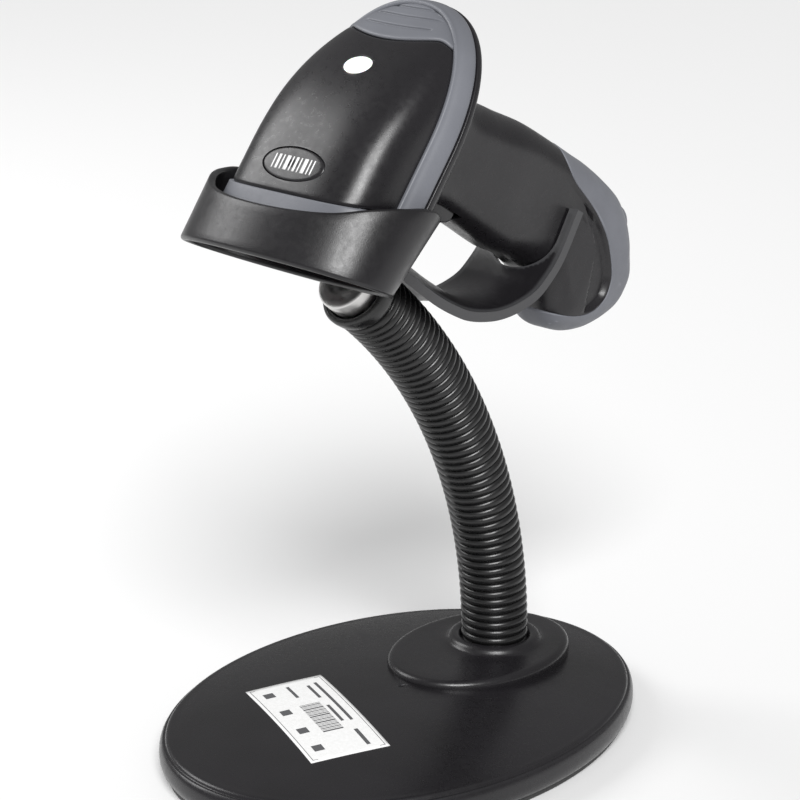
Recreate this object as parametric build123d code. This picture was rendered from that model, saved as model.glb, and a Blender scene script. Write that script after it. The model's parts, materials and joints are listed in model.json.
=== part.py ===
from build123d import *
import os
from math import cos, pi, radians, sin, sqrt

# A gun-shaped barcode scanner lying nose down in the cradle of its gooseneck stand.
# Row frame: the neck rises from the origin, Z is up and the stand's front faces -Y.
# Millimetres throughout, and everything is symmetric about the plane X = 0.

# ---- stand base -------------------------------------------------------------------
BASE_LENGTH = 158.0            # front to back
BASE_WIDTH = 117.0             # side to side
BASE_CENTRE_Y = -40.6
BASE_WALL = 2.6
PAD_THICKNESS = 1.6
PLATE_THICKNESS = 1.5
RIM_HEIGHT = 10.1              # height of the crease round the top of the rim
DOME_TOP = 14.5
DISC_CENTRE_Y = -7.0
DISC_WIDTH = 47.0
DISC_LENGTH = 62.2
DISC_TOP = 16.7
COLLAR_RADIUS = 13.7
COLLAR_TOP = 18.8
LABEL_CENTRE = (-4.7, -71.1)
LABEL_SIZE = (52.0, 27.4)
LABEL_TURN = -24.0

# ---- gooseneck --------------------------------------------------------------------
NECK_RADIUS = 10.0
NECK_BORE = 5.5
NECK_START_Z = 18.0            # the bend begins here, straight above the base
BEND_RADIUS = 150.0
TILT = 52.0                    # turn of the neck from its foot to its mouth
FIRST_JOINT = 7.0              # place of the lowest joint along the bend, in degrees
JOINT_STEP = 7.4
LINK_COUNT = 5
BALL_RADIUS = 9.6
SOCKET_CLEARANCE = 0.25
RIM_GAP_ANGLE = 0.92
CUP_RADIUS = 8.5
CUP_DEPTH = 8.0

# ---- cradle, in the scanner's own frame ---------------------------------------------
# The scanner's frame is the row frame before it is tipped by TILT about X: there the
# nose points to -Y, the top of the head to +Z, and the handle hangs down to -Z.
RING_CENTRE_Z = 159.0
RING_HALF_WIDTH = 37.0
RING_HALF_HEIGHT = 21.5
RING_WALL = 2.6
RING_FRONT = ((59.7, 181.0), (69.5, 137.0))
RING_BACK = ((73.0, 181.0), (78.4, 174.0), (84.1, 167.5), (89.6, 158.0), (92.0, 148.5), (93.0, 137.0))
LEDGE_REACH = 4.2
NECK_END_Y = 71.8
NECK_END_Z = 129.3
STUD_RADIUS = 8.2
STUD_TOP = 137.2
SCOOP_HALF_WIDTH = 15.0
SCOOP_THICKNESS = 3.0
FORK_HALF_GAP = 11.9
FORK_ROUND_Y = 118.2

# ---- scanner head, in the scanner's own frame ---------------------------------------
HEAD_HALF_WIDTH = 29.4
HEAD_BACK_CENTRE_Y = 106.0     # the sides are straight up to here, then close in an oval
HEAD_BACK_LENGTH = 43.8
NOSE_Y = 74.5
SHELL_FRONT_Y = 81.0
BUMPER_LOW = 151.6
BUMPER_HIGH = 158.0
BUMPER_WIDTH = 3.2
FLANGE_PROUD = 0.4             # how far the lower housing's rim stands out below the bumper
TOP_SEAM_Z = 154.8
TOP_HEIGHT = 18.6
TOP_START_Y = 93.7             # the top line falls away behind here
TOP_RUN = 61.7
TOP_CORNER = 0.44              # share of the half width that each top corner takes up
SHELL_WALL = 2.2
HEAD_FIT = 0.2                 # gap between the top shell and the bumper band
NOSE_CENTRE_Z = 158.2
NOSE_HALF_WIDTH = 30.6
NOSE_HALF_HEIGHT = 15.5
CAP_EDGE_Y = 135.0
BADGE_Y = 88.5
BADGE_SIZE = (22.4, 9.8)
STATUS_Y = 120.5

# ---- handle and trigger, in the scanner's own frame ---------------------------------
# Each station: height, front, back, half width.
HANDLE_STATIONS = (
    (151.0, 99.5, 133.0, 14.5),
    (132.0, 100.0, 134.0, 13.6),
    (120.0, 103.0, 136.2, 13.0),
    (104.0, 104.5, 140.2, 12.4),
    (90.0, 105.4, 142.2, 11.6),
    (78.0, 107.4, 143.4, 11.3),
    (68.0, 105.2, 144.4, 11.5),
    (60.0, 99.6, 144.4, 11.8),
    (53.0, 98.6, 143.2, 12.0),
    (46.0, 101.8, 139.4, 11.8),
    (40.0, 107.0, 134.4, 10.9),
)
HANDLE_END_Z = 36.2
HOLLOW_LOW = 44.4              # the handle is solid below here, apart from its socket
LUG_CENTRE = (135.6, 47.4)
LUG_RADIUS = 7.4
LUG_HALF_WIDTH = 5.5
PANEL_HALF_WIDTH = 13.4        # side panels raised on both sides of the handle's end
PANEL_CORNERS = ((110.0, 71.6), (128.0, 71.6), (127.5, 63.5), (123.5, 59.0), (113.0, 54.5))
GRIP_SKIN = 2.6
TRIGGER_HALF_WIDTH = 7.0
TRIGGER_PIVOT = (108.0, 135.5)
PIN_RADIUS = 1.5
PIN_FIT = 0.05
SLOT_CLEARANCE = 0.5
SOCKET_CENTRE_Y = 121.0
SOCKET_BODY = (15.0, 12.0, 17.0)
SOCKET_MOUTH = (11.8, 8.0, 12.5)

PARTS = {}


def keep(name, shape):
    """Store a finished sub-part under its own name."""
    PARTS[name] = shape
    return shape


def tipped(shape):
    """Carry a shape from the scanner's own frame to the row frame."""
    return Rot(TILT, 0, 0) * shape


def block(x_size, y_range, z_range):
    """A box centred on X between two Y and two Z values."""
    y0, y1 = y_range
    z0, z1 = z_range
    centre = Pos(0, (y0 + y1) / 2, (z0 + z1) / 2)
    return centre * Box(x_size, y1 - y0, z1 - z0)


def side_prism(half_width, *edges):
    """A closed outline in the YZ plane, given as edges, drawn out to both sides."""
    return extrude(Plane.YZ * make_face(list(edges)), half_width, both=True)


def side_polygon(half_width, *points):
    """A straight-sided outline in the YZ plane drawn out to both sides."""
    return extrude(Plane.YZ * Polygon(*points, align=None), half_width, both=True)


# ---- base -------------------------------------------------------------------------
def oval(inset, bottom, height):
    """An upright oval slab that follows the base's outline."""
    outline = Ellipse(BASE_WIDTH / 2 - inset, BASE_LENGTH / 2 - inset)
    return Pos(0, BASE_CENTRE_Y, bottom) * extrude(outline, height)


def base_shell_body():
    """The domed cover, turned as a round dish and then narrowed to an oval."""
    rim = BASE_LENGTH / 2
    low = PAD_THICKNESS
    inner = rim - BASE_WALL - 1.6
    dome_under = DOME_TOP - BASE_WALL
    edges = [
        ThreePointArc((rim - 1.9, low), (rim, 5.4), (rim - 0.9, RIM_HEIGHT - 0.8)),
        Line((rim - 0.9, RIM_HEIGHT - 0.8), (rim - 1.7, RIM_HEIGHT)),
        ThreePointArc((rim - 1.7, RIM_HEIGHT), (rim / 2, 13.5), (0, DOME_TOP)),
        Line((0, DOME_TOP), (0, dome_under)),
        ThreePointArc((0, dome_under), (rim / 2, dome_under - 1.0), (inner, 7.4)),
        Line((inner, 7.4), (inner, low)),
        Line((inner, low), (rim - 1.9, low)),
    ]
    dish = revolve(Plane.XZ * make_face(edges), Axis.Z)
    dish = scale(dish, by=(BASE_WIDTH / BASE_LENGTH, 1, 1))
    return Pos(0, BASE_CENTRE_Y, 0) * dish


def screw_places():
    """The four corners where the base screws stand."""
    return [Pos(x, BASE_CENTRE_Y + y, 0) for x in (-36, 36) for y in (-42, 42)]


def make_base():
    label = Pos(LABEL_CENTRE[0], LABEL_CENTRE[1], 0) * Rot(0, 0, LABEL_TURN)
    label_prism = label * extrude(Rectangle(*LABEL_SIZE), 30)
    shell = base_shell_body()
    disc = Pos(0, DISC_CENTRE_Y, 9.0) * extrude(Ellipse(DISC_WIDTH / 2, DISC_LENGTH / 2), DISC_TOP - 9.0)
    disc = fillet(disc.edges().group_by(Axis.Z)[-1], 1.6)
    collar = extrude(Circle(COLLAR_RADIUS), COLLAR_TOP)
    collar = fillet(collar.edges().group_by(Axis.Z)[-1], 1.5)
    collar -= Pos(0, 0, -1) * extrude(Circle(COLLAR_RADIUS + 1), 13.0)
    bosses = Part() + [place * Pos(0, 0, 3.4) * extrude(Circle(4.0), 6.6) for place in screw_places()]
    pilots = Part() + [place * Pos(0, 0, 3.0) * extrude(Circle(1.5), 6.0) for place in screw_places()]
    label_skin = label_prism & shell
    sticker = label_skin - Pos(0, 0, -0.3) * shell
    shell = shell + disc + collar + bosses - pilots
    shell -= Pos(0, 0, 15.0) * extrude(Circle(NECK_RADIUS + 0.3), 10)
    shell -= extrude(Circle(6.2), 30)
    shell -= sticker
    keep("base_shell", shell)
    keep("base_label", sticker)
    keep("anti_slip_pad", oval(2.2, 0, PAD_THICKNESS))
    plate = oval(5.0, PAD_THICKNESS, PLATE_THICKNESS) - Pos(0, 0, PAD_THICKNESS) * extrude(Circle(6.2), 5)
    plate -= Part() + [place * extrude(Circle(1.9), 5) for place in screw_places()]
    keep("base_plate", plate)
    weight = oval(20.0, PAD_THICKNESS + PLATE_THICKNESS, 4.6)
    weight -= extrude(Circle(14.0), 20)
    weight -= Part() + [place * extrude(Circle(5.0), 20) for place in screw_places()]
    keep("ballast_weight", weight)
    keep("base_screws", Part() + [place * base_screw() for place in screw_places()])


def base_screw():
    """A self-tapping screw whose flat head lies between the pad and the plate."""
    shank = Pos(0, 0, PAD_THICKNESS) * extrude(Circle(1.45), 6.8)
    washer = Pos(0, 0, PAD_THICKNESS + PLATE_THICKNESS) * extrude(Circle(1.8), 0.3)
    return shank + washer


# ---- gooseneck --------------------------------------------------------------------
def on_bend(angle):
    """The point of the neck's centre line at an angle along its bend."""
    turn = radians(angle)
    return (0, BEND_RADIUS * (cos(turn) - 1), NECK_START_Z + BEND_RADIUS * sin(turn))


def across_bend(angle):
    """The plane square to the neck at an angle along its bend."""
    turn = radians(angle)
    return Plane(origin=on_bend(angle), x_dir=(1, 0, 0), z_dir=(0, -sin(turn), cos(turn)))


def bent_tube(start, end, radius, bore=0.0):
    """A stretch of the neck between two angles of its bend."""
    ring = Circle(radius) - Circle(bore) if bore else Circle(radius)
    axis = Axis((0, -BEND_RADIUS, NECK_START_Z), (1, 0, 0))
    return revolve(across_bend(start) * ring, axis, revolution_arc=end - start)


def ball(angle, radius):
    return Pos(*on_bend(angle)) * Sphere(radius)


def link(start, end, round_end=True):
    """One neck segment: a socket at its lower end and a ball at its upper end."""
    body = bent_tube(start + RIM_GAP_ANGLE, end, NECK_RADIUS)
    if round_end:
        body += ball(end, BALL_RADIUS)
    body -= ball(start, BALL_RADIUS + SOCKET_CLEARANCE)
    return body - bent_tube(start, min(end + 5.0, TILT), NECK_BORE)


def make_neck():
    foot = extrude(Circle(NECK_RADIUS), NECK_START_Z - 15.2)
    foot = Pos(0, 0, 15.2) * foot + bent_tube(0, FIRST_JOINT, NECK_RADIUS) + ball(FIRST_JOINT, BALL_RADIUS)
    foot += Pos(0, 0, 3.8) * extrude(Circle(5.9), 12.0)
    keep("neck_foot", foot - bent_tube(1.0, FIRST_JOINT + 5, NECK_BORE))
    nut = extrude(RegularPolygon(9.0, 6), 4.6) - extrude(Circle(5.95), 4.6)
    keep("neck_nut", Pos(0, 0, 4.2) * nut)
    for number in range(LINK_COUNT):
        start = FIRST_JOINT + number * JOINT_STEP
        keep(f"neck_link_{number + 1}", link(start, start + JOINT_STEP))
    start = FIRST_JOINT + LINK_COUNT * JOINT_STEP
    cup = tipped(Pos(0, NECK_END_Y, NECK_END_Z - CUP_DEPTH) * extrude(Circle(CUP_RADIUS), 20))
    keep("neck_top", link(start, TILT, round_end=False) - cup)


# ---- cradle -----------------------------------------------------------------------
def oval_tube(half_width, half_height, y_range, centre_z):
    """An oval drawn out along Y."""
    y0, y1 = y_range
    outline = Pos(0, y0, centre_z) * Rot(-90, 0, 0) * Ellipse(half_width, half_height)
    return extrude(outline, y1 - y0)


def make_ring():
    reach = (50, 110)
    outer = oval_tube(RING_HALF_WIDTH, RING_HALF_HEIGHT, reach, RING_CENTRE_Z)
    inner = oval_tube(RING_HALF_WIDTH - RING_WALL, RING_HALF_HEIGHT - RING_WALL, reach, RING_CENTRE_Z)
    trim = side_prism(
        50,
        Line(RING_FRONT[1], RING_FRONT[0]),
        Line(RING_FRONT[0], RING_BACK[0]),
        Spline(*RING_BACK),
        Line(RING_BACK[-1], RING_FRONT[1]),
    )
    ring = (outer - inner) & trim
    reach_in = RING_WALL + LEDGE_REACH
    opening = oval_tube(RING_HALF_WIDTH - reach_in, RING_HALF_HEIGHT - reach_in, reach, RING_CENTRE_Z)
    ledge = (inner - opening) & block(42, (71.4, NOSE_Y - 0.3), (130, 152))
    boss = block(13, (70.4, 79.0), (STUD_TOP, 139.6))
    return ring + ledge + boss, outer


def scoop_section(front, lean, hollow):
    """One cross section of the scoop: a band bowed away from the neck by hollow."""
    y, z = front
    turn = radians(lean)
    across = (cos(turn), sin(turn))
    back_y = y + SCOOP_THICKNESS * across[0]
    back_z = z + SCOOP_THICKNESS * across[1]
    near = []
    far = []
    for x, bow in ((-SCOOP_HALF_WIDTH, 0), (0, hollow), (SCOOP_HALF_WIDTH, 0)):
        near.append((x, y + bow * across[0], z + bow * across[1]))
        far.append((x, back_y + bow * across[0], back_z + bow * across[1]))
    edges = [
        ThreePointArc(*near),
        Line(near[2], far[2]),
        ThreePointArc(far[2], far[1], far[0]),
        Line(far[0], near[0]),
    ]
    return make_face(edges)


def make_scoop(ring_outer):
    # Each station: front point (y, z), direction across the band in degrees, bow.
    stations = (
        ((77.6, 142.0), 0, 5.4),
        ((77.6, 122.0), 0, 5.4),
        ((79.4, 104.0), 12, 4.6),
        ((84.6, 91.5), 32, 2.2),
        ((92.4, 82.0), 52, 0.6),
        ((102.0, 76.0), 74, 0.2),
        ((113.0, 74.0), 90, 0.2),
        ((128.0, 75.0), 98, 0.2),
    )
    band = loft([scoop_section(*station) for station in stations])
    fork = block(2 * FORK_HALF_GAP, (FORK_ROUND_Y, 150), (60, 100))
    fork += Pos(0, FORK_ROUND_Y, 60) * extrude(Circle(FORK_HALF_GAP), 40)
    return band - fork - ring_outer


def make_cradle():
    ring, ring_outer = make_ring()
    scoop = make_scoop(ring_outer)
    stud = Pos(0, NECK_END_Y, NECK_END_Z - CUP_DEPTH) * extrude(Circle(STUD_RADIUS), STUD_TOP - NECK_END_Z + CUP_DEPTH)
    stud = chamfer(stud.edges().group_by(Axis.Z)[0], 1.0)
    screw = Pos(0, NECK_END_Y + 2.0, 126.0) * extrude(Circle(2.0), 14.0)
    screw += Pos(0, NECK_END_Y + 2.0, 138.9) * extrude(Circle(4.0), 1.8)
    rivet = Pos(0, 88.5, 136.0) * extrude(Circle(1.8), 4.2)
    tab = block(12, (83.0, 92.5), (134.6, 137.2))
    scoop = scoop + (tab - ring_outer)
    ring = ring - screw - rivet
    scoop = scoop - rivet
    keep("cradle_ring", tipped(ring))
    keep("cradle_scoop", tipped(scoop))
    keep("cradle_stud", tipped(stud - screw))
    keep("cradle_screw", tipped(screw))
    keep("scoop_rivet", tipped(rivet))


# ---- scanner head -------------------------------------------------------------------
def head_outline(inset, front):
    """The head's plan: straight sides closed by half an oval at the back."""
    half = HEAD_HALF_WIDTH - inset
    edges = [
        Line((-half, front), (half, front)),
        Line((half, front), (half, HEAD_BACK_CENTRE_Y)),
        EllipticalCenterArc((0, HEAD_BACK_CENTRE_Y), half, HEAD_BACK_LENGTH - inset, start_angle=0, arc_size=180),
        Line((-half, HEAD_BACK_CENTRE_Y), (-half, front)),
    ]
    return make_face(edges)


def plan_half_width(inset, y):
    """Half the head's width at a place along its length."""
    half = HEAD_HALF_WIDTH - inset
    past = max(0.0, y - HEAD_BACK_CENTRE_Y) / (HEAD_BACK_LENGTH - inset)
    return half * sqrt(1 - past * past)


def crown_height(y):
    """Height of the head's top line above its seam."""
    run = max(0.0, y - TOP_START_Y) / TOP_RUN
    return TOP_HEIGHT * (1 - run * run) ** 1.45


def arched_section(y, half_width, height, base_z, upward=True):
    """Half an oval standing on, or hanging from, a level line."""
    plane = Plane(origin=(0, y, base_z), x_dir=(1, 0, 0), z_dir=(0, -1, 0))
    arc = EllipticalCenterArc((0, 0), half_width, height, start_angle=0, arc_size=180)
    face = make_face([arc, Line((-half_width, 0), (half_width, 0))])
    return plane * Rot(0 if upward else 180, 0, 0) * face


def boxy_section(y, half_width, height, base_z):
    """A flat-topped hump with broad round corners, standing on a level line."""
    plane = Plane(origin=(0, y, base_z), x_dir=(1, 0, 0), z_dir=(0, -1, 0))
    corner = TOP_CORNER * half_width
    flat = half_width - corner
    right = EllipticalCenterArc((flat, 0), corner, height, start_angle=0, arc_size=90)
    left = EllipticalCenterArc((-flat, 0), corner, height, start_angle=90, arc_size=90)
    top = Line((flat, height), (-flat, height))
    return plane * make_face([right, top, left, Line((-half_width, 0), (half_width, 0))])


def crown(thickness, stretch=0.0):
    """The head's upper bulge, taken in all round by a thickness."""
    sections = []
    for y in (SHELL_FRONT_Y - stretch, 95.0, 108.0, 119.0, 129.0, 137.0, 143.4 - thickness * 1.2):
        half_width = plan_half_width(BUMPER_WIDTH, y) - thickness - HEAD_FIT
        height = crown_height(y) - thickness
        sections.append(boxy_section(y, half_width, height, TOP_SEAM_Z))
    return loft(sections)


def belly_depth(y):
    """Depth of the lower housing below the bumper."""
    run = (y - SHELL_FRONT_Y) / 70.0
    return 10.4 * (1 - max(run, 0) ** 3)


def belly(thickness, stretch=0.0):
    """The head's lower bulge, taken in all round by a thickness."""
    sections = []
    for y in (SHELL_FRONT_Y - stretch, 106.0, 122.0, 134.0, 142.0 - thickness * 0.6):
        half_width = plan_half_width(0.6, y) - thickness
        sections.append(arched_section(y, half_width, belly_depth(y) - thickness * 0.9, BUMPER_LOW, False))
    return loft(sections)


def handle_section(station, thickness):
    z, front, back, half_width = station
    width = 2 * (half_width - thickness)
    depth = back - front - 2 * thickness
    return Pos(0, (front + back) / 2, z) * RectangleRounded(width, depth, width * 0.42)


def handle_form(thickness):
    """The handle's outer or inner form, from inside the head down to its end."""
    body = loft([handle_section(station, thickness) for station in HANDLE_STATIONS])
    if thickness == 0:
        last = HANDLE_STATIONS[-1]
        foot = (HANDLE_END_Z, last[1] + 4.6, last[2] - 4.2, last[3] - 1.6)
        body += loft([handle_section(last, 0), handle_section(foot, 0)])
    return body


def grip_zone():
    """The region of the handle that the grey grip covers, as seen from the side."""
    edges = [
        Spline((150, 92), (141.5, 88), (135.0, 80), (132.8, 66), (126, 51.5), (114.0, 45.8), (104, 53.5), (98, 72)),
        Polyline((98, 72), (90, 72), (90, 20), (150, 20), (150, 92)),
    ]
    return side_prism(20, *edges)


def make_bumper():
    outer = extrude(head_outline(0, SHELL_FRONT_Y), BUMPER_HIGH - BUMPER_LOW)
    outer = chamfer(outer.edges().group_by(Axis.Z)[-1].filter_by(Axis.X, reverse=True), 2.4)
    inner = extrude(head_outline(BUMPER_WIDTH, SHELL_FRONT_Y - 5), BUMPER_HIGH)
    return Pos(0, 0, BUMPER_LOW) * (outer - inner)


def make_nose():
    outer = oval_tube(NOSE_HALF_WIDTH, NOSE_HALF_HEIGHT, (NOSE_Y, SHELL_FRONT_Y), NOSE_CENTRE_Z)
    outer = fillet(outer.edges().group_by(Axis.Y)[0], 1.2)
    inner = oval_tube(NOSE_HALF_WIDTH - 4.4, NOSE_HALF_HEIGHT - 4.0, (NOSE_Y - 1, SHELL_FRONT_Y + 1), NOSE_CENTRE_Z)
    seat = oval_tube(NOSE_HALF_WIDTH - 2.6, NOSE_HALF_HEIGHT - 2.2, (NOSE_Y + 2.0, SHELL_FRONT_Y + 1), NOSE_CENTRE_Z)
    keep("nose_frame", tipped(outer - inner - seat))
    window = oval_tube(NOSE_HALF_WIDTH - 2.7, NOSE_HALF_HEIGHT - 2.3, (NOSE_Y + 2.0, NOSE_Y + 3.6), NOSE_CENTRE_Z)
    keep("scan_window", tipped(window))
    gasket = oval_tube(NOSE_HALF_WIDTH - 2.7, NOSE_HALF_HEIGHT - 2.3, (NOSE_Y + 3.6, NOSE_Y + 4.8), NOSE_CENTRE_Z)
    gasket -= oval_tube(NOSE_HALF_WIDTH - 5.0, NOSE_HALF_HEIGHT - 4.6, (NOSE_Y, SHELL_FRONT_Y), NOSE_CENTRE_Z)
    keep("window_gasket", tipped(gasket))


def make_head():
    solid_crown = crown(0)
    shell = solid_crown - crown(SHELL_WALL, 2.0)
    outline = Spline((-40, 122), (-24, 131.5), (0, CAP_EDGE_Y + 0.6), (24, 131.5), (40, 122))
    cap_zone = make_face([outline, Polyline((40, 122), (40, 160), (-40, 160), (-40, 122))])
    cap_zone = Pos(0, 0, 150) * extrude(cap_zone, 40)
    cap = shell & cap_zone
    shell -= cap_zone
    badge_prism = Pos(0, BADGE_Y, 160) * extrude(Ellipse(BADGE_SIZE[0] / 2, BADGE_SIZE[1] / 2), 20)
    badge = (badge_prism & solid_crown) - crown(0.9, 2.0)
    lens_prism = Pos(0, STATUS_Y, 160) * extrude(Ellipse(4.6, 3.2), 20)
    lens = (lens_prism & solid_crown) - crown(SHELL_WALL, 2.0)
    keep("top_shell", tipped(shell - badge - lens))
    keep("rear_cap", tipped(cap))
    keep("badge_plate", tipped(badge))
    keep("status_lens", tipped(lens))
    keep("bumper_band", tipped(make_bumper()))


def trigger_slot():
    """The slot in the handle's front that the trigger swings in."""
    return block(2 * (TRIGGER_HALF_WIDTH + SLOT_CLEARANCE), (90, 112), (113.2, 141.4))


def socket_space(grow):
    width, depth, height = SOCKET_BODY
    y0 = SOCKET_CENTRE_Y - depth / 2 - grow
    y1 = SOCKET_CENTRE_Y + depth / 2 + grow
    return block(width + 2 * grow, (y0, y1), (20, HANDLE_END_Z + 1.4 + height))


def housing_screw_places():
    """Screws that hold the two halves of the head together, under the head's rim."""
    return [(x, y) for x in (-20, 20) for y in (92, 116)]


def make_lower_housing():
    outer_handle = handle_form(0)
    hollow_handle = handle_form(SHELL_WALL) & block(60, (80, 160), (HOLLOW_LOW, 160))
    ends_hollow = belly(SHELL_WALL, 2.0)
    solid_belly = belly(0)
    below = outer_handle & block(60, (80, 160), (20, BUMPER_LOW))
    zone = grip_zone()
    skin_core = handle_form(GRIP_SKIN)
    lug = Pos(0, *LUG_CENTRE) * Rot(0, 90, 0) * Cylinder(LUG_RADIUS, 2 * LUG_HALF_WIDTH)
    grip = ((outer_handle + lug) & zone) - skin_core
    grip -= socket_space(0.3)
    boss_height = BUMPER_LOW - 144.5
    bosses = Part() + [Pos(x, y, 144.5) * extrude(Circle(3.2), boss_height) for x, y in housing_screw_places()]
    bosses &= solid_belly
    core_shell = (handle_form(GRIP_SKIN) - handle_form(GRIP_SKIN + SHELL_WALL)) & zone
    core_shell &= block(60, (80, 160), (HOLLOW_LOW, 160))
    flange = extrude(head_outline(-FLANGE_PROUD, SHELL_FRONT_Y) - head_outline(6.0, SHELL_FRONT_Y - 2), 1.6)
    flange = Pos(0, 0, BUMPER_LOW - 1.6) * flange
    panels = (side_polygon(PANEL_HALF_WIDTH, *PANEL_CORNERS) - zone) - hollow_handle
    front_shell = ((below - zone) - hollow_handle) + core_shell + panels
    shell = solid_belly + front_shell - ends_hollow - hollow_handle
    shell = shell + flange + bosses - trigger_slot() - socket_space(0.3)
    pin = Pos(0, *TRIGGER_PIVOT) * Rot(0, 90, 0) * Cylinder(PIN_RADIUS, 24.0)
    screws = [Pos(x, y, 146.4) * extrude(Circle(1.3), 6.0) for x, y in housing_screw_places()]
    screws = Part() + screws
    keep("lower_housing", tipped(shell - pin - screws))
    keep("back_grip", tipped(grip))
    keep("trigger_pin", tipped(pin))
    keep("housing_screws", tipped(screws))


def make_trigger():
    y, z = TRIGGER_PIVOT
    edges = [
        Spline((99.8, 140.6), (97.9, 131.0), (99.4, 122.0), (101.2, 116.4)),
        Line((101.2, 116.4), (104.4, 114.8)),
        Line((104.4, 114.8), (109.0, 117.4)),
        Line((109.0, 117.4), (111.0, 128.0)),
        Line((111.0, 128.0), (111.6, 138.6)),
        Line((111.6, 138.6), (106.0, 140.8)),
        Line((106.0, 140.8), (99.8, 140.6)),
    ]
    body = side_prism(TRIGGER_HALF_WIDTH, *edges)
    body -= Pos(0, y, z) * Rot(0, 90, 0) * Cylinder(PIN_RADIUS + PIN_FIT, 30)
    body -= block(4.4, (y - 4.2, y + 6.0), (z - 4.2, z + 6.0))
    keep("trigger", tipped(body))
    spring = Rot(0, 90, 0) * (Cylinder(3.0, 3.4) - Cylinder(PIN_RADIUS + 0.3, 3.4))
    keep("trigger_spring", tipped(Pos(0, y, z) * spring))
    switch = block(6.2, (117.5, 121.5), (110.0, 116.4))
    switch += Pos(0, 117.5, 113.2) * Rot(90, 0, 0) * extrude(Circle(1.2), 1.8)
    keep("trigger_switch", tipped(switch))


# ---- works inside the scanner ---------------------------------------------------------
def make_works():
    board = extrude(head_outline(8.0, 103.0), 1.6) - block(60, (133, 150), (-1, 4))
    keep("main_board", tipped(Pos(0, 0, 154.4) * board))
    chassis = block(32, (82.5, 102.0), (149.0, 164.0)) - block(28, (81, 100.0), (150.0, 170.0))
    keep("engine_chassis", tipped(chassis))
    barrel = Rot(-90, 0, 0) * (Cylinder(4.6, 9.0) - Cylinder(3.4, 9.0))
    keep("lens_barrel", tipped(Pos(0, 90.0, 156.0) * barrel))
    glass = Rot(-90, 0, 0) * Cylinder(3.4, 2.4)
    keep("focus_lens", tipped(Pos(0, 88.0, 156.0) * glass))
    sensor = block(14.0, (97.6, 99.6), (151.0, 161.0))
    holder = block(12.0, (94.5, 97.6), (150.4, 161.6)) - block(6.0, (94.0, 98.0), (153.0, 159.0))
    keep("image_sensor", tipped(sensor))
    keep("lens_holder", tipped(holder))
    lamps = [Pos(x, 84.5, 156.0) * Rot(90, 0, 0) * Cylinder(2.4, 3.0) for x in (-11, 11)]
    keep("aiming_lamps", tipped(Part() + lamps))
    bar = block(27.0, (86.2, 87.6), (150.2, 151.2)) + block(27.0, (86.2, 87.6), (160.8, 162.4))
    keep("light_bars", tipped(bar))
    buzzer = Pos(11.0, 112.0, 156.0) * extrude(Circle(5.4), 5.0)
    keep("buzzer", tipped(buzzer))
    chip = Pos(-9.0, 116.0, 156.0) * extrude(Rectangle(11, 11), 1.4)
    keep("decoder_chip", tipped(chip))
    lamp = Pos(0, STATUS_Y, 156.0) * extrude(Rectangle(3.0, 2.4), 1.6)
    keep("status_lamp", tipped(lamp))
    guide_top = 165.4
    keep("light_guide", tipped(Pos(0, STATUS_Y, 157.6) * extrude(Circle(2.2), guide_top - 157.6)))
    make_socket()


def make_socket():
    width, depth, height = SOCKET_BODY
    low = HANDLE_END_Z + 1.2
    y_range = (SOCKET_CENTRE_Y - depth / 2, SOCKET_CENTRE_Y + depth / 2)
    jack = block(width, y_range, (low, low + height))
    mouth_range = (SOCKET_CENTRE_Y - SOCKET_MOUTH[1] / 2, SOCKET_CENTRE_Y + SOCKET_MOUTH[1] / 2)
    jack -= block(SOCKET_MOUTH[0], mouth_range, (low - 1, low + SOCKET_MOUTH[2]))
    keep("cable_socket", tipped(jack))
    pin_y = SOCKET_CENTRE_Y + SOCKET_MOUTH[1] / 2 - 0.8
    places = [(index - 4.5) * 1.02 for index in range(10)]
    contacts = [Pos(x, pin_y, low + 8.0) * Box(0.4, 0.7, 8.0) for x in places]
    keep("socket_contacts", tipped(Part() + contacts))
    board = block(15.0, (113.0, 131.0), (low + height, low + height + 1.6))
    keep("socket_board", tipped(board))
    lead_low = low + height + 1.6
    lead = block(8.0, (127.0, 128.0), (lead_low, 154.0))
    keep("inner_ribbon", tipped(lead))


def main():
    make_base()
    make_neck()
    make_cradle()
    make_nose()
    make_head()
    make_lower_housing()
    make_trigger()
    make_works()
    os.makedirs("parts", exist_ok=True)
    for name, shape in PARTS.items():
        export_step(shape, f"parts/{name}.step")


main()
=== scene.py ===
import json
import math

import bmesh
import bpy
import numpy as np
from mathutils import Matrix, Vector


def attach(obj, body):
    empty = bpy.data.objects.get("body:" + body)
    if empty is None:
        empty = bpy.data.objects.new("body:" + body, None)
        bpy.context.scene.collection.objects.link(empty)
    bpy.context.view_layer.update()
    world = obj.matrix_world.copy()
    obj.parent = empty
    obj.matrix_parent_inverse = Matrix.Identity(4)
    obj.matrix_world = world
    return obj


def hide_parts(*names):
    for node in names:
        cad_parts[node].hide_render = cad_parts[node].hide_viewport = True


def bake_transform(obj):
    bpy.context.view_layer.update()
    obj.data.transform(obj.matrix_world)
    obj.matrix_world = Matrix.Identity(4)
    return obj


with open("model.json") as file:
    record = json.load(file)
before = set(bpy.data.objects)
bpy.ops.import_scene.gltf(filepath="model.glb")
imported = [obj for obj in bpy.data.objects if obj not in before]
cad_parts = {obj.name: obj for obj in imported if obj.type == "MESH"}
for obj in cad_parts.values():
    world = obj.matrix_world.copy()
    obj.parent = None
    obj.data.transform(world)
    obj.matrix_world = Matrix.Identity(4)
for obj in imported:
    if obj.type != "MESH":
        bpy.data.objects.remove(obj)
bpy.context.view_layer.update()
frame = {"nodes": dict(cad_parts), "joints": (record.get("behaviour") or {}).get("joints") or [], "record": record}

MM = 0.001
NODES = frame["nodes"]
JOINTS = {joint["name"]: joint for joint in frame["joints"]}
LIFT_AXIS = JOINTS["scanner_lift_off"]["axis"]
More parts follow.
